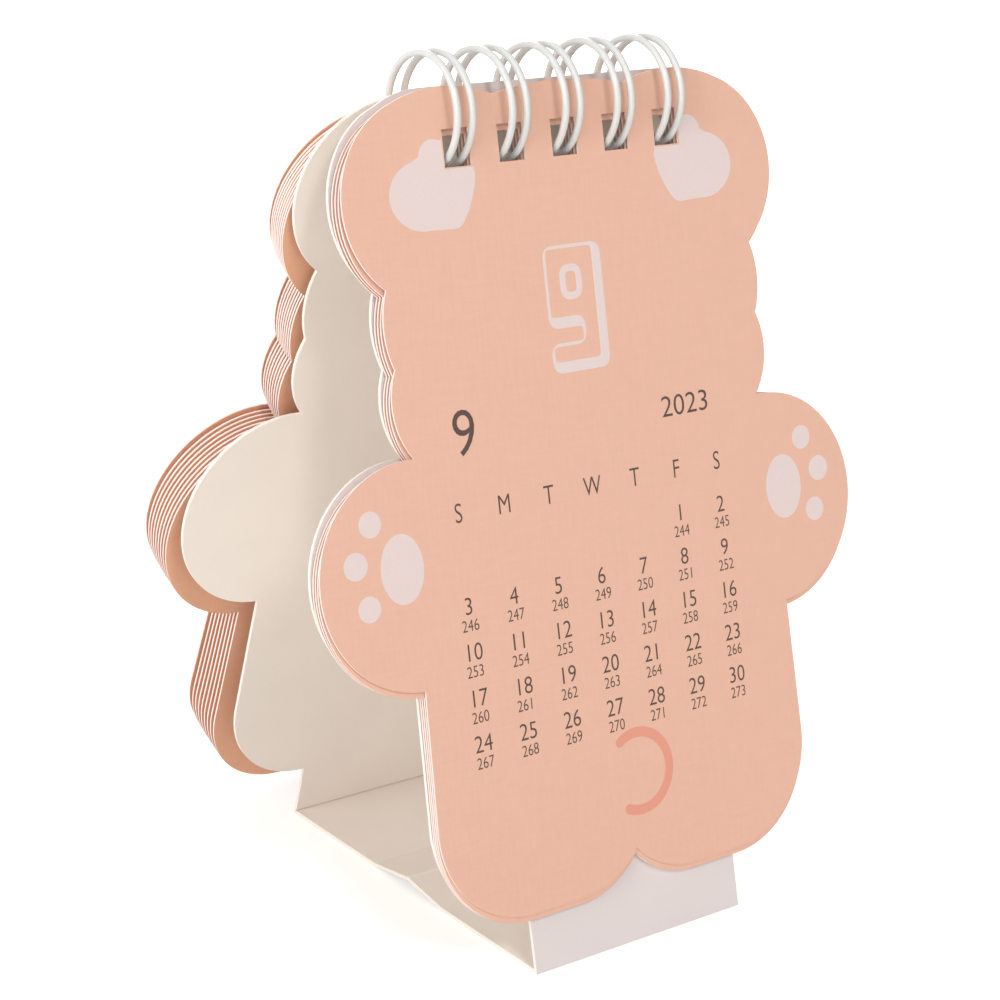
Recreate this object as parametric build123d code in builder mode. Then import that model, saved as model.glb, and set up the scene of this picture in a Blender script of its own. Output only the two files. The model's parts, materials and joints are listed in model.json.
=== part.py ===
from build123d import *
import math
import os

os.makedirs("parts", exist_ok=True)

# Folded card stand: two leaning panels on a base strip, all one thickness of card
card_thickness = 0.5
panel_slope = 14.4
apex_gap = 0.4
strip_width = 35.0
crease_rise = 1.2
crease_run = 8.0
open_crease_clearance = 0.1

# Outline of the bear, right half: heights step up from the foot of the panel, each from the one below
leg_bottom = 8.4
leg_radius = 13.4
leg_flat = 8.1
crotch_rise = 4.4
hip_reach = 31.0
waist_reach = 30.5
waist_rise = 31.9
arm_overhang = 15.6
arm_rise = 14.1
neck_reach = 28.4
neck_rise = 28.7
cheek_bulge = 0.95
lower_cheek_rise = 11.1
upper_cheek_rise = 9.7
temple_reach = 29.7
ear_overhang = 5.0
ear_rise = 10.2
ear_end_inset = 3.2
ear_end_rise = 22.1
brow_reach = 19.5
brow_rise = 1.7
valley_reach = 10.6
valley_rise = 0.3
crown_rise = 1.4
panel_rise = 1.2

# Punched row for the wire: the card's slots reach lower than the paper's holes, to let the stand fold
hole_count = 5
hole_pitch = 8.467
hole_width = 4.05
hole_height = 4.7
slot_height = 5.95
hole_drop = 4.9

# Twin-loop wire: ring axis is just behind the apex and a little below the tops of the sheets
wire_diameter = 0.95
ring_radius = 7.4
twin_half_gap = 1.15
ring_setback = 0.5
axis_drop = 2.5
spine_angle = 16.0
tip_angle = 14.0
corner_radius = 1.0
wire_end = 1.6
wire_sides = 6
ring_arcs = 4
gap_samples = 12

# Paper leaves: four hang in front, nine are turned over to the rear
leaf_thickness = 0.28
front_leaf_count = 4
front_first_gap = 0.5
front_leaf_pitch = 0.75
front_first_fan = 0.22
front_fan_step = 0.235
front_sag = 0.8
rear_leaf_count = 9
rear_first_reach = 1.15
rear_leaf_pitch = 0.32
rear_last_gap = 0.2
rear_lean = 2.4
rear_fan_step = 0.35
hang_clearance = 0.2

crotch_height = leg_bottom + crotch_rise
waist_height = leg_bottom + waist_rise
arm_height = waist_height + arm_rise
neck_height = waist_height + neck_rise
cheek_height = neck_height + lower_cheek_rise
temple_height = cheek_height + upper_cheek_rise
ear_height = temple_height + ear_rise
ear_end_height = temple_height + ear_end_rise
brow_height = ear_end_height + brow_rise
valley_height = ear_end_height + valley_rise
crown_height = ear_end_height + crown_rise
panel_top = ear_end_height + panel_rise
arm_reach = neck_reach + arm_overhang
ear_reach = temple_reach + ear_overhang
ear_end_reach = temple_reach - ear_end_inset

hole_top = crown_height - hole_drop
ring_level = crown_height - axis_drop

slope_sin = math.sin(math.radians(panel_slope))
slope_cos = math.cos(math.radians(panel_slope))
half_depth = panel_top * slope_sin + card_thickness * slope_cos + apex_gap / 2
crease_angle = 90 - panel_slope
strip_half = strip_width / 2

wire_radius = wire_diameter / 2


def rear_reach(number):
    # Distance of a turned leaf's inner face from the ring axis; the outermost hangs loose
    loose = rear_last_gap if number == rear_leaf_count - 1 else 0
    return rear_first_reach + number * rear_leaf_pitch + loose


def hanging_level(reach):
    # A turned leaf hangs with the wire just under the tops of its holes
    middle = reach + leaf_thickness / 2
    drop = math.sqrt(ring_radius**2 - middle**2)
    bearing = (wire_radius * ring_radius + leaf_thickness / 2 * middle) / drop
    return hole_top - bearing - hang_clearance + drop


# The overall depth, from the front crease to the outermost leaf's foot, is centred on the origin
last_reach = rear_reach(rear_leaf_count - 1)
rear_slope = math.radians(panel_slope + rear_lean + (rear_leaf_count - 1) * rear_fan_step)
rear_extent = (
    ring_setback
    + (last_reach + leaf_thickness) * math.cos(rear_slope)
    + (hanging_level(last_reach) - leg_bottom) * math.sin(rear_slope)
)
stand_middle = (half_depth - rear_extent) / 2
front_crease = stand_middle - half_depth
rear_crease = stand_middle + half_depth

# Ring axis, level with the tops of the panels
ring_y = stand_middle + ring_setback
ring_z = (ring_level - (ring_setback + half_depth) * slope_sin) / slope_cos
front_panel_reach = (ring_setback + half_depth) * slope_cos - ring_z * slope_sin


def sheet_plane(side, lean, reach, level):
    # Plane of a hung sheet's inner face: reach from the ring axis, its level beside that axis
    lean_sin = math.sin(math.radians(lean))
    lean_cos = math.cos(math.radians(lean))
    foot_y = ring_y + side * reach * lean_cos + side * level * lean_sin
    foot_z = ring_z + reach * lean_sin - level * lean_cos
    return Plane(
        origin=(0, foot_y, foot_z),
        x_dir=(-side, 0, 0),
        z_dir=(0, side * lean_cos, lean_sin),
    )


def lower_outline():
    # Ear, two cheek bumps, arm, flank and leg, from the ear's upper end to the leg's bottom
    ear = ThreePointArc(
        (ear_end_reach, ear_end_height), (ear_reach, ear_height), (temple_reach, temple_height)
    )
    upper_cheek = ThreePointArc(
        ear @ 1,
        (temple_reach + cheek_bulge, (temple_height + cheek_height) / 2),
        (temple_reach, cheek_height),
    )
    lower_cheek = ThreePointArc(
        upper_cheek @ 1,
        (temple_reach + cheek_bulge, (cheek_height + neck_height) / 2),
        (neck_reach, neck_height),
    )
    arm = ThreePointArc(lower_cheek @ 1, (arm_reach, arm_height), (waist_reach, waist_height))
    flank = Line(arm @ 1, (hip_reach, leg_bottom + leg_radius))
    return RadiusArc(flank @ 1, (hip_reach - leg_radius, leg_bottom), leg_radius)


def punch_row(height):
    # Row of holes for the loops, all with their tops level
    with Locations((0, hole_top - height / 2)):
        with GridLocations(hole_pitch, height, hole_count, 1):
            Rectangle(hole_width, height, mode=Mode.SUBTRACT)


with BuildSketch() as leaf_shape:
    with BuildLine():
        crown = TangentArc((0, crown_height), (valley_reach, valley_height), tangent=(1, 0))
        ThreePointArc(crown @ 1, (brow_reach, brow_height), (ear_end_reach, ear_end_height))
        leg = lower_outline()
        sole = Line(leg @ 1, (hip_reach - leg_radius - leg_flat, leg_bottom))
        TangentArc(sole @ 1, (0, crotch_height), tangent=(-1, 0))
        mirror(about=Plane.YZ)
    make_face()
    punch_row(hole_height)

with BuildSketch() as panel_shape:
    with BuildLine():
        top = Line((0, panel_top), (brow_reach, panel_top))
        TangentArc(top @ 1, (ear_end_reach, ear_end_height), tangent=(1, 0))
        leg = lower_outline()
        sole = Line(leg @ 1, (strip_half, leg_bottom))
        side_edge = Line(sole @ 1, (strip_half, 0))
        Line(side_edge @ 1, (0, 0))
        mirror(about=Plane.YZ)
    make_face()
    punch_row(slot_height)


def bent_base(side):
    # Half of the base strip: flat on the table, then rising to the embossed middle crease
    rise_angle = math.atan2(crease_rise, crease_run)
    crest_top = crease_rise + card_thickness / math.cos(rise_angle)
    bend_setback = card_thickness * math.tan(rise_angle / 2)
    end_setback = card_thickness * slope_sin / slope_cos
    if side < 0:
        end_setback = card_thickness / math.tan(math.radians(crease_angle / 2))
    profile = [
        (half_depth, 0),
        (crease_run, 0),
        (0, crease_rise),
        (0, crest_top),
        (crease_run + bend_setback, card_thickness),
        (half_depth - end_setback, card_thickness),
    ]
    return [(stand_middle + side * y, z) for y, z in profile]


mitre = math.radians(crease_angle / 2)

with BuildPart() as front_panel:
    outer_face = Plane(
        origin=(0, front_crease, 0), x_dir=(1, 0, 0), z_dir=(0, -slope_cos, slope_sin)
    )
    with BuildSketch(outer_face):
        add(panel_shape.sketch)
    extrude(amount=-card_thickness)
    mitre_plane = Plane(
        origin=(0, front_crease, 0),
        x_dir=(1, 0, 0),
        z_dir=(0, -math.sin(mitre), math.cos(mitre)),
    )
    split(bisect_by=mitre_plane, keep=Keep.TOP)
front_panel.part.label = "front_panel"
export_step(front_panel.part, "parts/front_panel.step")

with BuildPart() as rear_panel:
    outer_face = Plane(
        origin=(0, rear_crease, 0), x_dir=(-1, 0, 0), z_dir=(0, slope_cos, slope_sin)
    )
    with BuildSketch(outer_face):
        add(panel_shape.sketch)
    extrude(amount=-card_thickness)
    split(bisect_by=Plane.XY.offset(card_thickness + open_crease_clearance), keep=Keep.TOP)
rear_panel.part.label = "rear_panel"
export_step(rear_panel.part, "parts/rear_panel.step")

with BuildPart() as base_front:
    with BuildSketch(Plane.YZ):
        with BuildLine():
            Polyline(*bent_base(-1), close=True)
        make_face()
    extrude(amount=strip_half, both=True)
base_front.part.label = "base_front"
export_step(base_front.part, "parts/base_front.step")

with BuildPart() as base_rear:
    with BuildSketch(Plane.YZ):
        with BuildLine():
            Polyline(*bent_base(1), close=True)
        make_face()
    extrude(amount=strip_half, both=True)
base_rear.part.label = "base_rear"
export_step(base_rear.part, "parts/base_rear.step")


def ring_point(x, angle):
    # Point on the ring, turning from straight below the axis to the front and over the top
    turn = math.radians(angle)
    return Vector(x, ring_y - ring_radius * math.sin(turn), ring_z - ring_radius * math.cos(turn))


def ring_direction(angle):
    turn = math.radians(angle)
    return Vector(0, -math.cos(turn), math.sin(turn))


ring_end = 360 - tip_angle
arc_step = (ring_end - spine_angle) / ring_arcs
across = Vector(1, 0, 0)
diagonal = math.sqrt(2) / 2


def corner(x, turn_side):
    # Quarter bend between the spine and one wire of a loop; returns its three points
    centre = ring_point(x, spine_angle) + across * (turn_side * corner_radius)
    start = ring_direction(spine_angle)
    on_spine = centre - start * corner_radius
    middle = centre - (start + across * turn_side) * (corner_radius * diagonal)
    return on_spine, middle, ring_point(x, spine_angle)


with BuildPart() as wire_binding:
    with BuildLine() as wire_path:
        first_x = -(hole_count - 1) / 2 * hole_pitch
        lead = corner(first_x - twin_half_gap, -1)[0]
        Line(lead - across * wire_end, lead)
        for loop in range(hole_count):
            loop_x = first_x + loop * hole_pitch
            left = loop_x - twin_half_gap
            right = loop_x + twin_half_gap
            ThreePointArc(*corner(left, -1))
            for step in range(ring_arcs):
                angle = spine_angle + step * arc_step
                ThreePointArc(
                    ring_point(left, angle),
                    ring_point(left, angle + arc_step / 2),
                    ring_point(left, angle + arc_step),
                )
            ThreePointArc(
                ring_point(left, ring_end),
                ring_point(loop_x, ring_end) + ring_direction(ring_end) * twin_half_gap,
                ring_point(right, ring_end),
            )
            for step in range(ring_arcs):
                angle = ring_end - step * arc_step
                ThreePointArc(
                    ring_point(right, angle),
                    ring_point(right, angle - arc_step / 2),
                    ring_point(right, angle - arc_step),
                )
            ThreePointArc(*reversed(corner(right, 1)))
            spine_start = corner(right, 1)[0]
            if loop < hole_count - 1:
                Line(spine_start, corner(left + hole_pitch, -1)[0])
            else:
                Line(spine_start, spine_start + across * wire_end)
    inward = Vector(0, ring_y, ring_z) - ring_point(0, spine_angle)
    across_wire = Plane(origin=wire_path.line @ 0, x_dir=inward, z_dir=wire_path.line % 0)
    with BuildSketch(across_wire) as wire_section:
        RegularPolygon(wire_radius, wire_sides)
    sweep(clean=False)
wire_binding.part.label = "wire_binding"
export_step(wire_binding.part, "parts/wire_binding.step")


def paper_leaf(label, plane):
    with BuildPart() as leaf:
        with BuildSketch(plane):
            add(leaf_shape.sketch)
        extrude(amount=leaf_thickness)
    leaf.part.label = label
    export_step(leaf.part, f"parts/{label}.step")


for number in range(front_leaf_count):
    reach = front_panel_reach + front_first_gap + number * front_leaf_pitch
    fan = front_first_fan + number * front_fan_step
    # The leaves behind the one that is read have slipped a little lower than it
    sag = front_sag if number < front_leaf_count - 1 else 0
    place = sheet_plane(-1, panel_slope - fan, reach, ring_level + sag)
    paper_leaf(f"front_leaf_{front_leaf_count - number}", place)

for number in range(rear_leaf_count):
    reach = rear_reach(number)
    fan = rear_lean + number * rear_fan_step
    place = sheet_plane(1, panel_slope + fan, reach, hanging_level(reach))
    paper_leaf(f"rear_leaf_{number + 1}", place)

# Least gap between stretches of the wire that aren't neighbours along it
wire_points = []
travelled = 0
for edge in wire_path.line.edges():
    for sample in range(gap_samples):
        share = sample / gap_samples
        wire_points.append((travelled + edge.length * share, edge @ share))
    travelled += edge.length
turn_length = math.pi * twin_half_gap
least = min(
    (a - b).length
    for at_a, a in wire_points
    for at_b, b in wire_points
    if at_b - at_a >= turn_length
)
wire_volume = wire_section.sketch.area * travelled
print("wire length", round(travelled, 2), "least gap", round(least - wire_diameter, 3))
print("wire volume", round(wire_binding.part.volume, 2), "section times length", round(wire_volume, 2))
print("ring axis", round(ring_y, 4), round(ring_z, 4))
print("creases", round(front_crease, 4), round(stand_middle, 4), round(rear_crease, 4))
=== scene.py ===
import json
import math

import bmesh
import bpy
from mathutils import Matrix, Vector


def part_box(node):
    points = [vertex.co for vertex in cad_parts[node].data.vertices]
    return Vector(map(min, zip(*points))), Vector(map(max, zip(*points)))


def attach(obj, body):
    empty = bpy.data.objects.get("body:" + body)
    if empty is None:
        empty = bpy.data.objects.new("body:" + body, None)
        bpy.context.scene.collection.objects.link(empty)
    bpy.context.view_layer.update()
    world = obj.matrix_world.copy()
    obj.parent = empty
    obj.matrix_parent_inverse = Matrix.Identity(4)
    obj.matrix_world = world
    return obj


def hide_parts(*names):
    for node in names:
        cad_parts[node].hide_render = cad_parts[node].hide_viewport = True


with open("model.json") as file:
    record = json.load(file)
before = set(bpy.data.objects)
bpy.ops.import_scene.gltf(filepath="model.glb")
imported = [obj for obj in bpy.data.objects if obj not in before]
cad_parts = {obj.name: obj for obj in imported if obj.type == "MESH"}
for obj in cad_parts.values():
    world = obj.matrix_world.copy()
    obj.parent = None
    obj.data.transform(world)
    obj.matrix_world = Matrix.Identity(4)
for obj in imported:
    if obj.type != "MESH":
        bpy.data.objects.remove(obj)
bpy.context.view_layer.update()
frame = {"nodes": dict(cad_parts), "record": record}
nodes = frame["nodes"]
mm = 0.001
print("frame loaded,", len(nodes), "nodes")


def linearColour(hexText):
    # sRGB hex to the linear colour that a shader socket takes
    channels = [int(hexText[at:at + 2], 16) / 255 for at in (0, 2, 4)]
    return [c / 12.92 if c <= 0.04045 else ((c + 0.055) / 1.055) ** 2.4 for c in channels] + [1.0]


def addNode(tree, kind, settings=None, inputs=None, links=None):
    node = tree.nodes.new(kind)
    for name, value in (settings or {}).items():
        setattr(node, name, value)
    for name, value in (inputs or {}).items():
        node.inputs[name].default_value = value
    for name, source in (links or {}).items():
        tree.links.new(source, node.inputs[name])
    return node


def newMaterial(name):
    material = bpy.data.materials.new(name)
    material.use_nodes = True
    material.node_tree.nodes.clear()
    return material, material.node_tree


def newPiece(name, mesh, *materials):
    piece = bpy.data.objects.new(name, mesh)
    bpy.context.collection.objects.link(piece)
    for material in materials:
        mesh.materials.append(material)
    return piece


# Planes of the CAD sheets, read from their own broad faces

outline = {
    "legBottom": 8.4,  # mm from a leaf's foot line up to the lowest point of its legs
    "facing": 0.7,  # least cosine between a broad face and the side that it looks to
}


def sheetPlane(nodeName, outward):
    # Foot of the sheet's broad face that looks outward: x to the reader's right, y up, z off the paper
    mesh = nodes[nodeName].data
    facing = [face for face in mesh.polygons if face.normal.dot(Vector(outward)) > outline["facing"]]
    broad = max(facing, key=lambda face: face.area)
    off = broad.normal.normalized()
    right = Vector((-off.y, off.x, 0)).normalized()
    up = off.cross(right)
    lowest = min(corner.co.dot(up) for corner in mesh.vertices)
    foot = off * mesh.vertices[broad.vertices[0]].co.dot(off) + up * (lowest - outline["legBottom"] * mm)
    plane = Matrix((right, up, off)).transposed().to_4x4()
    plane.translation = foot
    return plane


# Leaf paper: matt art paper, offset printed peach all over and die-cut, so the face is smooth with a soft
# sheen and a faint mottle of ink, and the cut edge shows the white body of the sheet

leafPaper = {
    "ink": ("ECBCA5", "E9B9A2"),  # light and deep ends of its mottle
    "paintedBounceInk": ("EBB392", "E8AF8E"),  # a warmer tint, on the sides that the turned leaves show to the stand: painted bounce light and shade
    "cutEdge": "F4E2DA",
    "fibre": 0.32,  # mm, coarser than real fibres so that they show
    "laid": (0.42, 3.2),  # mm, width and length of the faint crossed lines left by the press felt
    "mottle": 7.0,  # mm
    "mottleShare": 0.4,  # its weight in the tint, beside the crossed lines
    "tintSpan": (0.85, 1.55),  # pattern values that give the deep and the light end
    "edgeLimit": 0.5,  # cosine to the broad face below which a face is a cut edge
    "roughness": (0.50, 0.62),
    "tooth": 0.012,  # mm, depth of the paper's tooth
    "toothStrength": 0.5,
    "ior": 1.47,
    "specular": 0.35,
}


def leafMaterial(name, broad, backInkAndBounce):
    # broad is the direction that the outer face looks in; the back of the sheet has its own colour
    material, tree = newMaterial(name)
    place = addNode(tree, "ShaderNodeTexCoord")
    facing = addNode(
        tree, "ShaderNodeVectorMath", {"operation": "DOT_PRODUCT"}, {1: broad}, {0: place.outputs["Normal"]})
    either = addNode(tree, "ShaderNodeMath", {"operation": "ABSOLUTE"}, links={0: facing.outputs["Value"]})
    isFace = addNode(
        tree, "ShaderNodeMath", {"operation": "GREATER_THAN"}, {1: leafPaper["edgeLimit"]},
        {0: either.outputs[0]})
    fibre = addNode(
        tree, "ShaderNodeTexNoise", inputs={"Scale": 1 / (leafPaper["fibre"] * mm), "Detail": 2.0},
        links={"Vector": place.outputs["Object"]})
    mottle = addNode(
        tree, "ShaderNodeTexNoise",
        inputs={"Scale": 1 / (leafPaper["mottle"] * mm), "Detail": 4.0, "Roughness": 0.6},
        links={"Vector": place.outputs["Object"]})
    narrow, long = [1 / (size * mm) for size in leafPaper["laid"]]
    felt = []
    for across, along in ((narrow, long), (long, narrow)):
        stretch = addNode(
            tree, "ShaderNodeMapping", inputs={"Scale": (across, along, along)},
            links={"Vector": place.outputs["Object"]})
        felt.append(addNode(
            tree, "ShaderNodeTexNoise", inputs={"Scale": 1.0, "Detail": 1.0},
            links={"Vector": stretch.outputs[0]}))
    crossed = addNode(
        tree, "ShaderNodeMath", {"operation": "ADD"}, links={0: felt[0].outputs[0], 1: felt[1].outputs[0]})
    relief = addNode(
        tree, "ShaderNodeMath", {"operation": "ADD"}, links={0: crossed.outputs[0], 1: fibre.outputs[0]})
    blend = addNode(
        tree, "ShaderNodeMath", {"operation": "MULTIPLY_ADD"}, {1: leafPaper["mottleShare"]},
        {0: mottle.outputs[0], 2: crossed.outputs[0]})
    deepest, lightest = leafPaper["tintSpan"]
    tint = addNode(
        tree, "ShaderNodeMapRange", inputs={"From Min": deepest, "From Max": lightest},
        links={"Value": blend.outputs[0]})
    printed = []
    for light, deep in (leafPaper["ink"], backInkAndBounce):
        printed.append(addNode(
            tree, "ShaderNodeMix", {"data_type": "RGBA"}, {6: linearColour(deep), 7: linearColour(light)},
            {0: tint.outputs[0]}))
    # Back faces take the second colour: the same ink on the front leaves, painted bounce light and shade on
    # the turned ones
    isBack = addNode(
        tree, "ShaderNodeMath", {"operation": "LESS_THAN"}, {1: 0.0}, {0: facing.outputs["Value"]})
    ink = addNode(
        tree, "ShaderNodeMix", {"data_type": "RGBA"},
        links={0: isBack.outputs[0], 6: printed[0].outputs[2], 7: printed[1].outputs[2]})
    colour = addNode(
        tree, "ShaderNodeMix", {"data_type": "RGBA"}, {6: linearColour(leafPaper["cutEdge"])},
        {0: isFace.outputs[0], 7: ink.outputs[2]})
    low, high = leafPaper["roughness"]
    polish = addNode(
        tree, "ShaderNodeMapRange", inputs={"To Min": low, "To Max": high}, links={"Value": fibre.outputs[0]})
    tooth = addNode(
        tree, "ShaderNodeBump",
        inputs={"Strength": leafPaper["toothStrength"], "Distance": leafPaper["tooth"] * mm},
        links={"Height": relief.outputs[0]})
    shader = addNode(
        tree, "ShaderNodeBsdfPrincipled",
        inputs={"IOR": leafPaper["ior"], "Specular IOR Level": leafPaper["specular"]},
        links={"Base Color": colour.outputs[2], "Roughness": polish.outputs[0], "Normal": tooth.outputs[0]})
    addNode(tree, "ShaderNodeOutputMaterial", links={"Surface": shader.outputs[0]})
    return material


frontPlane = sheetPlane("front_leaf_1", (0, -1, 0))
rearPlane = sheetPlane("rear_leaf_9", (0, 1, 0))
frontLeafPaper = leafMaterial("artPaperPeachFront", frontPlane.col[2].xyz, leafPaper["ink"])
# The turned leaves' inner sides get a warmer peach, painted bounce light and shade from the stand
rearLeafPaper = leafMaterial("artPaperPeachRear", rearPlane.col[2].xyz, leafPaper["paintedBounceInk"])
leaves = [name for name in nodes if "leaf" in name]
for name in leaves:
    sides = nodes[name].data.materials
    sides.clear()
    sides.append(frontLeafPaper if name.startswith("front") else rearLeafPaper)
print("leaf paper on", len(leaves), "leaves")


# Card of the stand: duplex board, white on its outer side and ivory inside, cut and scored at the folds, so
# it is dull with a fine tooth, its edges show the ivory body, and each fold of the base has a paler line

standCard = {
    "outer": "E7DDDB",
    "inner": "F7EDE3",
    "paleFold": "FBF6F0",
    "fibre": 0.4,  # mm, coarser than real fibres so that they show
    "cloud": 11.0,  # mm, cloudy look-through of the pulp
    "fibreShare": 0.4,  # weight of the fibres in the shade, beside the clouds
    "pulpSpan": (0.4, 1.0),  # pattern values from the darkest to the clear board
    "pulpShade": 0.955,  # of the full colour, where the pulp is darkest
    "outerLimit": -0.5,  # cosine to the inner side below which a face is the outer side
    "foldLine": 0.45,  # mm, half the width of the paler line
    "foldPaleness": 0.7,  # how far it is paled at its middle
    "tooth": 0.02,  # mm
    "toothStrength": 0.5,
    "roughness": (0.55, 0.75),
    "ior": 1.47,
    "specular": 0.3,
}


def cardMaterial(name, inside, folds):
    material, tree = newMaterial(name)
    place = addNode(tree, "ShaderNodeTexCoord")
    facing = addNode(
        tree, "ShaderNodeVectorMath", {"operation": "DOT_PRODUCT"}, {1: inside}, {0: place.outputs["Normal"]})
    isInner = addNode(
        tree, "ShaderNodeMath", {"operation": "GREATER_THAN"}, {1: standCard["outerLimit"]},
        {0: facing.outputs["Value"]})
    fibre = addNode(
        tree, "ShaderNodeTexNoise", inputs={"Scale": 1 / (standCard["fibre"] * mm), "Detail": 3.0},
        links={"Vector": place.outputs["Object"]})
    cloud = addNode(
        tree, "ShaderNodeTexNoise", inputs={"Scale": 1 / (standCard["cloud"] * mm), "Detail": 4.0},
        links={"Vector": place.outputs["Object"]})
    board = addNode(
        tree, "ShaderNodeMix", {"data_type": "RGBA"},
        {6: linearColour(standCard["outer"]), 7: linearColour(standCard["inner"])}, {0: isInner.outputs[0]})
    shade = addNode(
        tree, "ShaderNodeMath", {"operation": "MULTIPLY_ADD"}, {1: standCard["fibreShare"]},
        {0: fibre.outputs[0], 2: cloud.outputs[0]})
    darkest, clear = standCard["pulpSpan"]
    pulp = addNode(
        tree, "ShaderNodeMapRange",
        inputs={"From Min": darkest, "From Max": clear, "To Min": standCard["pulpShade"], "To Max": 1.0},
        links={"Value": shade.outputs[0]})
    clouded = addNode(
        tree, "ShaderNodeMix", {"data_type": "RGBA", "blend_type": "MULTIPLY"}, {0: 1.0},
        {6: board.outputs[2], 7: pulp.outputs[0]})
    colour = clouded.outputs[2]
    parts = addNode(tree, "ShaderNodeSeparateXYZ", links={"Vector": place.outputs["Object"]})
    for foldY in folds:
        away = addNode(tree, "ShaderNodeMath", {"operation": "SUBTRACT"}, {1: foldY}, {0: parts.outputs["Y"]})
        distance = addNode(tree, "ShaderNodeMath", {"operation": "ABSOLUTE"}, links={0: away.outputs[0]})
        line = addNode(
            tree, "ShaderNodeMapRange",
            inputs={"From Min": 0.0, "From Max": standCard["foldLine"] * mm,
                    "To Min": standCard["foldPaleness"], "To Max": 0.0},
            links={"Value": distance.outputs[0]})
        paleFold = addNode(
            tree, "ShaderNodeMix", {"data_type": "RGBA"}, {7: linearColour(standCard["paleFold"])},
            {0: line.outputs[0], 6: colour})
        colour = paleFold.outputs[2]
    low, high = standCard["roughness"]
    polish = addNode(
        tree, "ShaderNodeMapRange", inputs={"To Min": low, "To Max": high}, links={"Value": fibre.outputs[0]})
    tooth = addNode(
        tree, "ShaderNodeBump",
        inputs={"Strength": standCard["toothStrength"], "Distance": standCard["tooth"] * mm},
        links={"Height": fibre.outputs[0]})
    shader = addNode(
        tree, "ShaderNodeBsdfPrincipled",
        inputs={"IOR": standCard["ior"], "Specular IOR Level": standCard["specular"]},
        links={"Base Color": colour, "Roughness": polish.outputs[0], "Normal": tooth.outputs[0]})
    addNode(tree, "ShaderNodeOutputMaterial", links={"Surface": shader.outputs[0]})
    return material


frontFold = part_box("base_front")[0][1]
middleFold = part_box("base_front")[1][1]
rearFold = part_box("base_rear")[1][1]
frontCardPlane = sheetPlane("front_panel", (0, -1, 0))
rearCardPlane = sheetPlane("rear_panel", (0, 1, 0))
cards = {
    "front_panel": cardMaterial("duplexBoardFront", -frontCardPlane.col[2].xyz, ()),
    "rear_panel": cardMaterial("duplexBoardRear", -rearCardPlane.col[2].xyz, ()),
    "base_front": cardMaterial("duplexBoardBaseFront", (0, 0, 1), (frontFold, middleFold)),
    "base_rear": cardMaterial("duplexBoardBaseRear", (0, 0, 1), (middleFold, rearFold)),
}
for name, card in cards.items():
    nodes[name].data.materials.clear()
    nodes[name].data.materials.append(card)

# The front card's straight top edge stands a little above the leaves and shows between the loops
cardTop = {"depth": 1.2, "raise": 0.65}  # mm, the stretch below the edge that is drawn up, and how far
cardUp = frontCardPlane.col[1].xyz
cardMesh = nodes["front_panel"].data.copy()
topLevel = max(corner.co.dot(cardUp) for corner in cardMesh.vertices)
for corner in cardMesh.vertices:
    share = 1 - (topLevel - corner.co.dot(cardUp)) / (cardTop["depth"] * mm)
    corner.co += cardUp * (cardTop["raise"] * mm * max(0.0, share))
frontCard = newPiece("frontCard", cardMesh)
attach(frontCard, "front_panel")
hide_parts("front_panel")
print("card on", len(cards), "pieces of the stand")


# Twin-loop wire: soft steel wire with a white nylon coat, bent round mandrels, so it is smooth and even,
# with a broad soft highlight along each turn

wire = {
    "colour": "D6D6D3",
    "diameter": 0.95,  # mm, as the lengths below
    "ringRadius": 7.4,
    "loops": 5,
    "pitch": 8.467,
    "twinHalfGap": 1.15,
    "spineAngle": 16.0,  # degrees from straight below the axis, towards the front
    "tipAngle": 14.0,
    "bend": 1.0,
    "end": 1.6,
    "ringSteps": 60,
    "bendSteps": 6,
    "tipSteps": 14,
    "sides": 16,
    "ripple": 1.4,  # mm, slow unevenness of the coat
    "rippleDepth": 0.02,
    "rippleStrength": 0.35,
    "roughness": (0.17, 0.27),
    "ior": 1.53,
}


def wireMaterial():
    material, tree = newMaterial("nylonCoatedWire")
    place = addNode(tree, "ShaderNodeTexCoord")
    ripple = addNode(
        tree, "ShaderNodeTexNoise", inputs={"Scale": 1 / (wire["ripple"] * mm), "Detail": 2.0},
        links={"Vector": place.outputs["Object"]})
    low, high = wire["roughness"]
    polish = addNode(
        tree, "ShaderNodeMapRange", inputs={"To Min": low, "To Max": high},
        links={"Value": ripple.outputs[0]})
    coat = addNode(
        tree, "ShaderNodeBump",
        inputs={"Strength": wire["rippleStrength"], "Distance": wire["rippleDepth"] * mm},
        links={"Height": ripple.outputs[0]})
    shader = addNode(
        tree, "ShaderNodeBsdfPrincipled",
        inputs={"Base Color": linearColour(wire["colour"]), "IOR": wire["ior"]},
        links={"Roughness": polish.outputs[0], "Normal": coat.outputs[0]})
    addNode(tree, "ShaderNodeOutputMaterial", links={"Surface": shader.outputs[0]})
    return material


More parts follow.
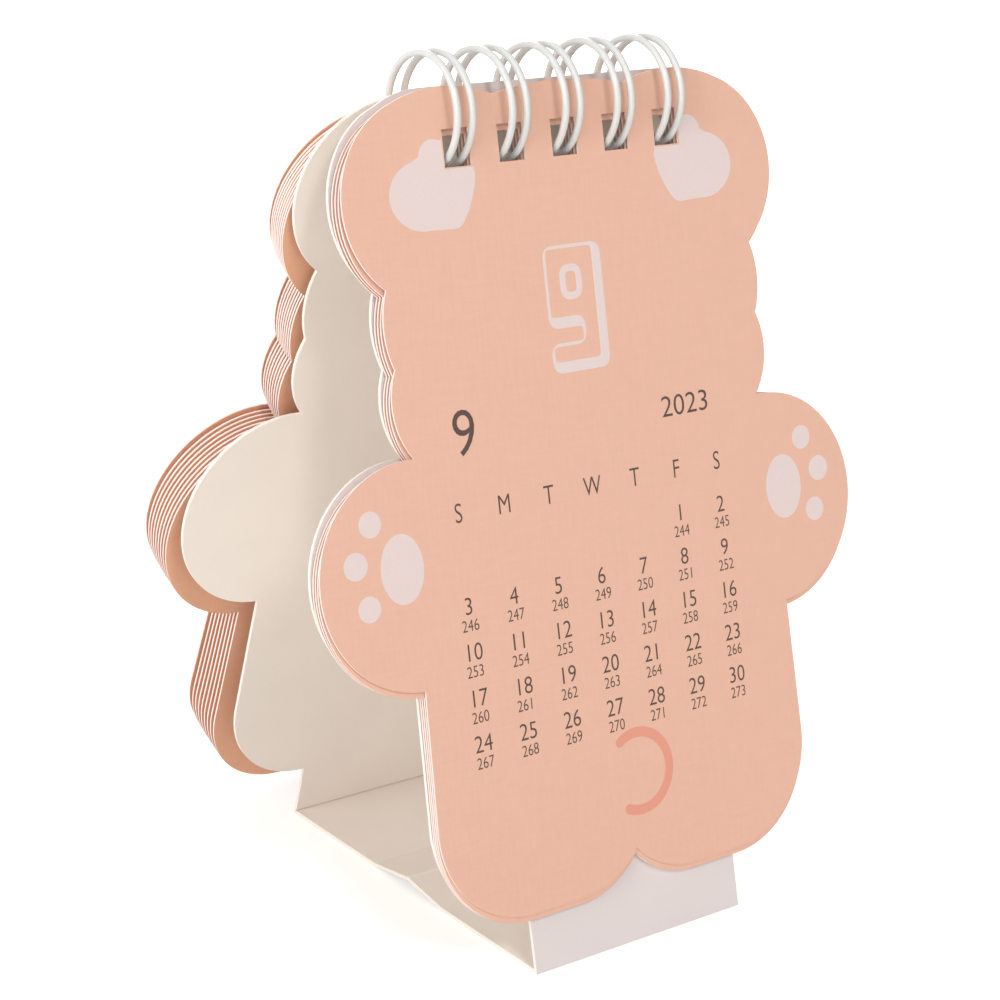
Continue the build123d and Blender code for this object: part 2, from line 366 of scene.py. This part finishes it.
def loopPath():
    # One twin loop about the ring axis, in mm: spine, bend, up the front and over, closed tip, and back
    radius, gap, bend = wire["ringRadius"], wire["twinHalfGap"], wire["bend"]
    ringStart, ringEnd = wire["spineAngle"], 360 - wire["tipAngle"]

    def ringPoint(x, angle):
        turn = math.radians(angle)
        return Vector((x, -radius * math.sin(turn), -radius * math.cos(turn)))

    def heading(angle):
        turn = math.radians(angle)
        return Vector((0, -math.cos(turn), math.sin(turn)))

    across = Vector((1, 0, 0))
    centre = ringPoint(-gap, ringStart) - across * bend
    outward = heading(ringStart)
    half = [centre - outward * bend - across * wire["end"]]
    for step in range(wire["bendSteps"]):
        turn = math.radians(90) * step / wire["bendSteps"]
        half.append(centre - outward * (bend * math.cos(turn)) + across * (bend * math.sin(turn)))
    for step in range(wire["ringSteps"]):
        half.append(ringPoint(-gap, ringStart + (ringEnd - ringStart) * step / wire["ringSteps"]))
    tip = []
    for step in range(wire["tipSteps"] + 1):
        turn = math.pi * step / wire["tipSteps"]
        tip.append(ringPoint(-gap * math.cos(turn), ringEnd) + heading(ringEnd) * (gap * math.sin(turn)))
    mirrored = [Vector((-point.x, point.y, point.z)) for point in reversed(half)]
    return half + tip + mirrored


def wireTree():
    # Repeats the loop along the binding, joins the loops end to end and gives the line its round section
    tree = bpy.data.node_groups.new("twinLoopWire", "GeometryNodeTree")
    tree.interface.new_socket("Geometry", in_out="OUTPUT", socket_type="NodeSocketGeometry")
    sockets = {
        "Loop": "Geometry", "Loops": "Int", "Pitch": "Float", "Wire Diameter": "Float", "Sides": "Int",
        "Coat": "Material"}
    for name, kind in sockets.items():
        tree.interface.new_socket(name, in_out="INPUT", socket_type="NodeSocket" + kind)
    source = addNode(tree, "NodeGroupInput").outputs
    path = addNode(tree, "GeometryNodeMeshToCurve", links={"Mesh": source["Loop"]})
    gaps = addNode(tree, "ShaderNodeMath", {"operation": "SUBTRACT"}, {1: 1.0}, {0: source["Loops"]})
    half = addNode(tree, "ShaderNodeMath", {"operation": "MULTIPLY"}, {1: -0.5}, {0: gaps.outputs[0]})
    first = addNode(
        tree, "ShaderNodeMath", {"operation": "MULTIPLY"}, links={0: half.outputs[0], 1: source["Pitch"]})
    start = addNode(tree, "ShaderNodeCombineXYZ", links={"X": first.outputs[0]})
    step = addNode(tree, "ShaderNodeCombineXYZ", links={"X": source["Pitch"]})
    row = addNode(
        tree, "GeometryNodeMeshLine",
        links={"Count": source["Loops"], "Start Location": start.outputs[0], "Offset": step.outputs[0]})
    loops = addNode(
        tree, "GeometryNodeInstanceOnPoints", links={"Points": row.outputs[0], "Instance": path.outputs[0]})
    real = addNode(tree, "GeometryNodeRealizeInstances", links={"Geometry": loops.outputs[0]})
    points = addNode(
        tree, "GeometryNodeCurveToPoints", {"mode": "EVALUATED"}, links={"Curve": real.outputs[0]})
    line = addNode(tree, "GeometryNodePointsToCurves", links={"Points": points.outputs[0]})
    radius = addNode(
        tree, "ShaderNodeMath", {"operation": "MULTIPLY"}, {1: 0.5}, {0: source["Wire Diameter"]})
    section = addNode(
        tree, "GeometryNodeCurvePrimitiveCircle",
        links={"Resolution": source["Sides"], "Radius": radius.outputs[0]})
    tube = addNode(
        tree, "GeometryNodeCurveToMesh", inputs={"Fill Caps": True},
        links={"Curve": line.outputs[0], "Profile Curve": section.outputs[0]})
    smooth = addNode(tree, "GeometryNodeSetShadeSmooth", links={0: tube.outputs[0]})
    solid = addNode(tree, "GeometryNodeRealizeInstances", links={"Geometry": smooth.outputs[0]})
    coated = addNode(
        tree, "GeometryNodeSetMaterial", links={"Geometry": solid.outputs[0], "Material": source["Coat"]})
    addNode(tree, "NodeGroupOutput", links={0: coated.outputs[0]})
    return tree


def treePiece(name, mesh, tree, values):
    # Runs a tree on a mesh and keeps the result as a plain mesh
    seed = newPiece(name + "Seed", mesh)
    modifier = seed.modifiers.new(tree.name, "NODES")
    modifier.node_group = tree
    for socket in tree.interface.items_tree:
        if socket.in_out == "INPUT" and socket.name in values:
            modifier[socket.identifier] = values[socket.name]
    evaluated = seed.evaluated_get(bpy.context.evaluated_depsgraph_get())
    result = bpy.data.meshes.new_from_object(evaluated)
    result.name = name
    bpy.data.objects.remove(seed)
    return newPiece(name, result)


joints = frame["record"]["behaviour"]["joints"]
ringAxis = Vector(next(joint["pos_m"] for joint in joints if joint["name"] == "wire_turn"))
loopMesh = bpy.data.meshes.new("wireLoop")
loopPoints = [point * mm + ringAxis for point in loopPath()]
loopMesh.from_pydata(loopPoints, [(at, at + 1) for at in range(len(loopPoints) - 1)], [])
binding = treePiece("twinLoopBinding", loopMesh, wireTree(), {
    "Loops": wire["loops"], "Pitch": wire["pitch"] * mm, "Wire Diameter": wire["diameter"] * mm,
    "Sides": wire["sides"], "Coat": wireMaterial()})
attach(binding, "wire_binding")
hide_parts("wire_binding")
print("wire binding,", len(binding.data.polygons), "faces")


# Print on the leaves: offset inks, a film that stands a hair above the paper and is a little smoother than it

inks = {
    "patch": ("offsetInkPalePink", "E4D1CD"),
    "text": ("offsetInkBrown", "594640"),
    "tail": ("offsetInkCoral", "E39A84"),
}
inkFilm = {
    "height": 0.02,  # mm, as the next two
    "sunk": 0.006,
    "grain": 0.25,
    "thinning": (1.08, 0.004),  # gain and lift of the colour where the film is thinnest
    "roughness": (0.42, 0.58),
    "ior": 1.47,
    "specular": 0.35,
    "weld": 0.0005,  # mm, corners this close are one
}


def inkMaterial(name, hexText):
    material, tree = newMaterial(name)
    place = addNode(tree, "ShaderNodeTexCoord")
    grain = addNode(
        tree, "ShaderNodeTexNoise", inputs={"Scale": 1 / (inkFilm["grain"] * mm), "Detail": 2.0},
        links={"Vector": place.outputs["Object"]})
    full = linearColour(hexText)
    gain, lift = inkFilm["thinning"]
    thin = [min(1.0, channel * gain + lift) for channel in full[:3]] + [1.0]
    cover = addNode(
        tree, "ShaderNodeMix", {"data_type": "RGBA"}, {6: full, 7: thin}, {0: grain.outputs[0]})
    low, high = inkFilm["roughness"]
    polish = addNode(
        tree, "ShaderNodeMapRange", inputs={"To Min": low, "To Max": high}, links={"Value": grain.outputs[0]})
    shader = addNode(
        tree, "ShaderNodeBsdfPrincipled",
        inputs={"IOR": inkFilm["ior"], "Specular IOR Level": inkFilm["specular"]},
        links={"Base Color": cover.outputs[2], "Roughness": polish.outputs[0]})
    addNode(tree, "ShaderNodeOutputMaterial", links={"Surface": shader.outputs[0]})
    return material


inkOrder = list(inks)
inkMaterials = [inkMaterial(*inks[ink]) for ink in inkOrder]


def arcPoints(centre, radius, startAngle, endAngle, steps):
    # Points along an arc or a part of an ellipse, both ends included
    wide, tall = radius if isinstance(radius, tuple) else (radius, radius)
    points = []
    for step in range(steps + 1):
        turn = math.radians(startAngle + (endAngle - startAngle) * step / steps)
        points.append((centre[0] + wide * math.cos(turn), centre[1] + tall * math.sin(turn)))
    return points


def inkFace(sheet, corners, ink):
    # One flat face of print, turned to look off the paper
    face = sheet.faces.new(corners)
    face.normal_update()
    if face.normal.z < 0:
        face.normal_flip()
    face.material_index = inkOrder.index(ink)


def addArea(sheet, points, ink):
    inkFace(sheet, [sheet.verts.new((x, y, 0)) for x, y in points], ink)


def addStroke(sheet, points, width, ink, shade):
    # A closed line through the points with mitred corners; shade shifts its left side, which makes it uneven
    sharpest = 0.3  # keeps a tight corner's mitre short
    following = points[1:] + points[:1]
    sides = []
    for at, point in enumerate(points):
        here = Vector(point)
        into = (here - Vector(points[at - 1])).normalized()
        out = (Vector(following[at]) - here).normalized()
        normal = (Vector((-into.y, into.x)) + Vector((-out.y, out.x))).normalized()
        reach = width / 2 / max(sharpest, normal.dot(Vector((-into.y, into.x))))
        outer = here + normal * reach + Vector(shade)
        inner = here - normal * reach
        sides.append([sheet.verts.new((*outer, 0)), sheet.verts.new((*inner, 0))])
    for a, b in zip(sides, sides[1:] + sides[:1]):
        inkFace(sheet, (a[0], a[1], b[1], b[0]), ink)


figures = {"curveSteps": 4, "weight": -0.006}  # the weight thins the strokes to a light print
glyphs = {}


def glyphMesh(text):
    # Flat mesh of a number in the built-in face, centred across and standing on its base line
    if text not in glyphs:
        curve = bpy.data.curves.new("number", "FONT")
        curve.body = text
        curve.align_x = "CENTER"
        curve.resolution_u = figures["curveSteps"]
        curve.offset = figures["weight"]
        seed = bpy.data.objects.new("number", curve)
        glyphs[text] = bpy.data.meshes.new_from_object(seed)
        bpy.data.objects.remove(seed)
    return glyphs[text]


figureHeight = max(corner.co.y for corner in glyphMesh("7").vertices)


def addNumber(sheet, text, centre, height, squeeze):
    mesh = glyphMesh(text)
    scale = height / figureHeight
    corners = [
        sheet.verts.new((centre[0] + c.co.x * scale * squeeze, centre[1] + c.co.y * scale - height / 2, 0))
        for c in mesh.vertices]
    for polygon in mesh.polygons:
        inkFace(sheet, [corners[at] for at in polygon.vertices], "text")


def printedPiece(name, sheet, plane, body):
    # Gives the flat print its film thickness and lays it on the leaf
    bmesh.ops.remove_doubles(sheet, verts=sheet.verts, dist=inkFilm["weld"])
    bmesh.ops.solidify(sheet, geom=list(sheet.faces), thickness=inkFilm["height"])
    bmesh.ops.recalc_face_normals(sheet, faces=sheet.faces)
    lowest = min(corner.co.z for corner in sheet.verts)
    sheet.transform(Matrix.Translation((0, 0, -lowest - inkFilm["sunk"])))
    sheet.transform(plane @ Matrix.Scale(mm, 4))
    mesh = bpy.data.meshes.new(name)
    sheet.to_mesh(mesh)
    sheet.free()
    piece = newPiece(name, mesh, *inkMaterials)
    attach(piece, body)


# Pale patches of the ears and paws and the short tail, in mm on the sheet: circles, ellipses and arcs, with
# short straight lines where an ear's patch passes the hole and narrows to its foot
motif = {
    "earLobe": (22.6, 100.6, 5.15, 4.35),  # centre across, centre up, half width, half height
    "lobeArc": (-98, 76, 24),  # from and to in degrees, and its steps
    "earTip": (20.6, 105.1, 2.25, 2.25),
    "tipArc": (6, 118, 12),
    "earHole": ((19.15, 107.2), (19.15, 103.5), (14.75, 103.5)),  # passes round the outermost hole
    "earBase": ((14.55, 102.6), (14.75, 101.4), (15.25, 99.9), (16.05, 98.2),
                (17.1, 96.75), (17.7, 96.3), (18.4, 96.15)),
    "pad": (31.9, 55.9, 3.2, 4.4),
    "padArc": (0, 350, 35),
    "toes": ((35.9, 62.1, 1.65), (38.6, 57.4, 1.75), (37.3, 51.9, 1.65)),  # centre and radius
    "toeArc": (0, 345, 23),
    "tail": (1.65, 22.8, 5.2, 122, -116, 1.35),  # centre, radius, arc from and to in degrees, stroke
    "tailSteps": 28,
    "capSteps": 8,
}


def addBear(sheet):
    for side in (-1, 1):
        x, y, wide, tall = motif["earLobe"]
        lobe = arcPoints((x, y), (wide, tall), *motif["lobeArc"])
        x, y, wide, tall = motif["earTip"]
        tip = arcPoints((x, y), (wide, tall), *motif["tipArc"])
        shape = [*lobe, *tip, *motif["earHole"], *motif["earBase"]]
        addArea(sheet, [(side * u, v) for u, v in shape], "patch")
        x, y, wide, tall = motif["pad"]
        addArea(sheet, arcPoints((side * x, y), (wide, tall), *motif["padArc"]), "patch")
        for x, y, radius in motif["toes"]:
            addArea(sheet, arcPoints((side * x, y), radius, *motif["toeArc"]), "patch")


# Places and heights of the numbers in mm on the sheet; a squeeze is their width against the built-in face
monthSheet = {
    "firstColumn": -22.7,
    "columnPitch": 7.15,
    "firstRow": 55.4,
    "rowPitch": 5.85,
    "dayHeight": 2.15,
    "daySqueeze": 0.93,
    "countDrop": 2.45,  # day-of-year number below the date
    "countHeight": 1.45,
    "countSqueeze": 0.85,
    "weekRow": 61.3,
    "weekHeight": 2.4,
    "weekSqueeze": 0.8,
    "weekdays": "SMTWTFS",
    "monthAt": (-20.5, 71.05),
    "monthHeight": 5.7,
    "monthSqueeze": 0.95,
    "yearAt": (15.7, 69.65),
    "yearHeight": 2.7,
    "yearSqueeze": 1.06,
    "year": "2023",
    "numeralMiddle": (-1.3, 84.9),
    "numeralStroke": 0.95,
    "numeralShade": 0.5,  # its lines are this much heavier to the right and below
    "numeralGap": 1.6,
    "cornerRadius": 1.1,
    "cornerShare": 0.45,  # at most this much of a side goes into its corner
    "cornerSteps": 4,
}

# Plain block figures in mm, each an outer line and, where it has one, the line of its eye
blockFigures = {
    "9": (((0, 15.3), (8.4, 15.3), (8.4, 0), (0, 0), (0, 2.9), (5.4, 2.9), (5.4, 5.7), (0, 5.7)),
          ((2.9, 8.7), (5.5, 8.7), (5.5, 12.3), (2.9, 12.3))),
    "1": (((0, 15.3), (3.9, 15.3), (3.9, 0), (0.9, 0), (0.9, 12.2), (0, 12.2)),),
    "0": (((0, 15.3), (8.4, 15.3), (8.4, 0), (0, 0)),
          ((2.9, 3.0), (5.5, 3.0), (5.5, 12.3), (2.9, 12.3))),
}


def roundedLoop(points):
    # Closed line with its corners rounded
    m = monthSheet
    rounded = []
    for at, point in enumerate(points):
        here = Vector(point)
        before = Vector(points[at - 1]) - here
        after = Vector(points[(at + 1) % len(points)]) - here
        cut = min(m["cornerRadius"], before.length * m["cornerShare"], after.length * m["cornerShare"])
        start, end = here + before.normalized() * cut, here + after.normalized() * cut
        for step in range(m["cornerSteps"] + 1):
            share = step / m["cornerSteps"]
            bend = start * (1 - share) ** 2 + here * (2 * share * (1 - share)) + end * share ** 2
            rounded.append(tuple(bend))
    return rounded


def addNumeral(sheet, month):
    m = monthSheet
    widths = [max(x for x, y in blockFigures[figure][0]) for figure in str(month)]
    left = m["numeralMiddle"][0] - (sum(widths) + m["numeralGap"] * (len(widths) - 1)) / 2
    for figure, width in zip(str(month), widths):
        low = m["numeralMiddle"][1] - max(y for x, y in blockFigures[figure][0]) / 2
        for loop, shade in zip(blockFigures[figure], (m["numeralShade"], 0)):
            placed = roundedLoop([(left + x, low + y) for x, y in loop])
            addStroke(sheet, placed, m["numeralStroke"], "patch", (shade, -shade))
        left += width + m["numeralGap"]


def addDates(sheet, month, firstWeekday, days, daysBefore):
    m = monthSheet
    addNumber(sheet, str(month), m["monthAt"], m["monthHeight"], m["monthSqueeze"])
    addNumber(sheet, m["year"], m["yearAt"], m["yearHeight"], m["yearSqueeze"])
    for column, initial in enumerate(m["weekdays"]):
        at = (m["firstColumn"] + column * m["columnPitch"], m["weekRow"])
        addNumber(sheet, initial, at, m["weekHeight"], m["weekSqueeze"])
    for day in range(1, days + 1):
        row, column = divmod(day - 1 + firstWeekday, len(m["weekdays"]))
        at = (m["firstColumn"] + column * m["columnPitch"], m["firstRow"] - row * m["rowPitch"])
        addNumber(sheet, str(day), at, m["dayHeight"], m["daySqueeze"])
        below = (at[0], at[1] - m["countDrop"])
        addNumber(sheet, str(daysBefore + day), below, m["countHeight"], m["countSqueeze"])


def addTail(sheet):
    # An arc of even width with round ends
    x, y, radius, fromAngle, toAngle, stroke = motif["tail"]
    steps, capSteps = motif["tailSteps"], motif["capSteps"]
    start, end = arcPoints((x, y), radius, fromAngle, toAngle, 1)
    outer = arcPoints((x, y), radius + stroke / 2, fromAngle, toAngle, steps)
    inner = arcPoints((x, y), radius - stroke / 2, toAngle, fromAngle, steps)
    endCap = arcPoints(end, stroke / 2, toAngle, toAngle - 180, capSteps)
    startCap = arcPoints(start, stroke / 2, fromAngle + 180, fromAngle, capSteps)
    addArea(sheet, outer + endCap[1:-1] + inner + startCap[1:-1], "tail")


# Leaf, its month, the column of that month's first day, its length, and the days of the year before it
months = (("front_leaf_1", 9, 5, 30, 243), ("front_leaf_2", 10, 0, 31, 273))
for leaf, month, firstWeekday, days, daysBefore in months:
    sheet = bmesh.new()
    addBear(sheet)
    addTail(sheet)
    addNumeral(sheet, month)
    addDates(sheet, month, firstWeekday, days, daysBefore)
    printedPiece("print_" + leaf, sheet, sheetPlane(leaf, (0, -1, 0)), leaf)
for leaf, outward in (("rear_leaf_1", (0, -1, 0)), ("rear_leaf_9", (0, 1, 0))):
    # The turned leaves show the patches on the innermost one's inner face and on the back of the stack
    sheet = bmesh.new()
    addBear(sheet)
    addTail(sheet)
    printedPiece("print_" + leaf, sheet, sheetPlane(leaf, outward), leaf)
print("print on the leaves")


# Camera at the photograph's place, from a fit of the part's points to the picture

camera = {
    "fromAxis": (-199.838, -251.795, 52.21),  # mm from the middle of the ring axis
    "right": (0.79534, -0.60514, 0.03528),
    "down": (-0.16325, -0.26989, -0.94895),
    "forward": (0.58377, 0.74898, -0.31344),
    "focal": 2507.8,  # px of a 1000 px frame
    "frame": 1000,
    "clipStart": 0.01,  # metres
}
cameraData = bpy.data.cameras.new("photoCamera")
cameraData.sensor_fit = "HORIZONTAL"
cameraData.lens = cameraData.sensor_width * camera["focal"] / camera["frame"]
cameraData.clip_start = camera["clipStart"]
cameraObject = bpy.data.objects.new("photoCamera", cameraData)
bpy.context.collection.objects.link(cameraObject)
axes = Matrix((camera["right"], [-part for part in camera["down"]], [-part for part in camera["forward"]]))
cameraPlace = axes.transposed().to_4x4()
cameraPlace.translation = ringAxis + Vector(camera["fromAxis"]) * mm
cameraObject.matrix_world = cameraPlace
bpy.context.scene.camera = cameraObject
bpy.context.scene.view_settings.view_transform = "Standard"


# Pale floor and soft studio light

studio = {
    "floorSize": 6.0,  # metres, as the places and sizes below
    "floorDrop": 0.00005,  # keeps the floor just clear of the base
    "floorColour": "F2F1EF",
    "floorGlow": (0.36, 0.72),  # near the object, where its shadow falls, and far from it
    "glowReach": (0.12, 0.7),
    "white": (1, 1, 1, 1),
    "ambient": 0.36,
    "backdrop": 1.0,
    "aim": (0, 0, 0.06),
}
lamps = {
    "key": {"at": (-0.23, -0.97, 0.9), "size": 0.26, "power": 4.0},
    "fill": {"at": (-1.13, -0.66, 0.18), "size": 1.3, "power": 9.2},
    "side": {"at": (-1.2, -0.1, 0.65), "size": 1.0, "power": 7.0},
    "top": {"at": (0.0, 0.15, 1.2), "size": 0.9, "power": 1.3},
    "rear": {"at": (0.45, 1.15, 0.7), "size": 0.9, "power": 8.8},
}


def seenDirectly(tree):
    # 1 for the rays that show the background itself, 0 for the light that falls on the object
    path = addNode(tree, "ShaderNodeLightPath")
    shiny = addNode(
        tree, "ShaderNodeMath", {"operation": "MAXIMUM"},
        links={0: path.outputs["Is Glossy Ray"], 1: path.outputs["Is Transmission Ray"]})
    seen = addNode(
        tree, "ShaderNodeMath", {"operation": "MAXIMUM"},
        links={0: path.outputs["Is Camera Ray"], 1: shiny.outputs[0]})
    return seen.outputs[0]


world = bpy.data.worlds.new("studio")
bpy.context.scene.world = world
world.use_nodes = True
worldTree = world.node_tree
worldTree.nodes.clear()
around, backdrop = [
    addNode(
        worldTree, "ShaderNodeBackground", inputs={"Color": studio["white"], "Strength": studio[level]})
    for level in ("ambient", "backdrop")]
either = addNode(
    worldTree, "ShaderNodeMixShader",
    links={0: seenDirectly(worldTree), 1: around.outputs[0], 2: backdrop.outputs[0]})
addNode(worldTree, "ShaderNodeOutputWorld", links={"Surface": either.outputs[0]})

floorMaterial, floorTree = newMaterial("paperSweep")
matt = addNode(floorTree, "ShaderNodeBsdfDiffuse", inputs={"Color": linearColour(studio["floorColour"])})
floorPlace = addNode(floorTree, "ShaderNodeTexCoord")
fromObject = addNode(
    floorTree, "ShaderNodeVectorMath", {"operation": "LENGTH"}, links={0: floorPlace.outputs["Object"]})
glowNear, glowFar = studio["floorGlow"]
reachNear, reachFar = studio["glowReach"]
strength = addNode(
    floorTree, "ShaderNodeMapRange",
    inputs={"From Min": reachNear, "From Max": reachFar, "To Min": glowNear, "To Max": glowFar},
    links={"Value": fromObject.outputs["Value"]})
glow = addNode(
    floorTree, "ShaderNodeEmission", inputs={"Color": studio["white"]},
    links={"Strength": strength.outputs[0]})
lit = addNode(floorTree, "ShaderNodeAddShader", links={0: matt.outputs[0], 1: glow.outputs[0]})
shown = addNode(
    floorTree, "ShaderNodeMixShader",
    links={0: seenDirectly(floorTree), 1: matt.outputs[0], 2: lit.outputs[0]})
addNode(floorTree, "ShaderNodeOutputMaterial", links={"Surface": shown.outputs[0]})
floorMesh = bpy.data.meshes.new("floor")
edge, level = studio["floorSize"] / 2, -studio["floorDrop"]
floorCorners = [(-edge, -edge, level), (edge, -edge, level), (edge, edge, level), (-edge, edge, level)]
floorMesh.from_pydata(floorCorners, [], [(0, 1, 2, 3)])
newPiece("floor", floorMesh, floorMaterial)

for name, lamp in lamps.items():
    light = bpy.data.lights.new(name, "AREA")
    light.shape = "DISK"
    light.size = lamp["size"]
    light.energy = lamp["power"]
    lampObject = bpy.data.objects.new(name, light)
    bpy.context.collection.objects.link(lampObject)
    lampObject.location = lamp["at"]
    aim = Vector(studio["aim"]) - Vector(lamp["at"])
    lampObject.rotation_euler = aim.to_track_quat("-Z", "Y").to_euler()
print("camera, floor and lights")
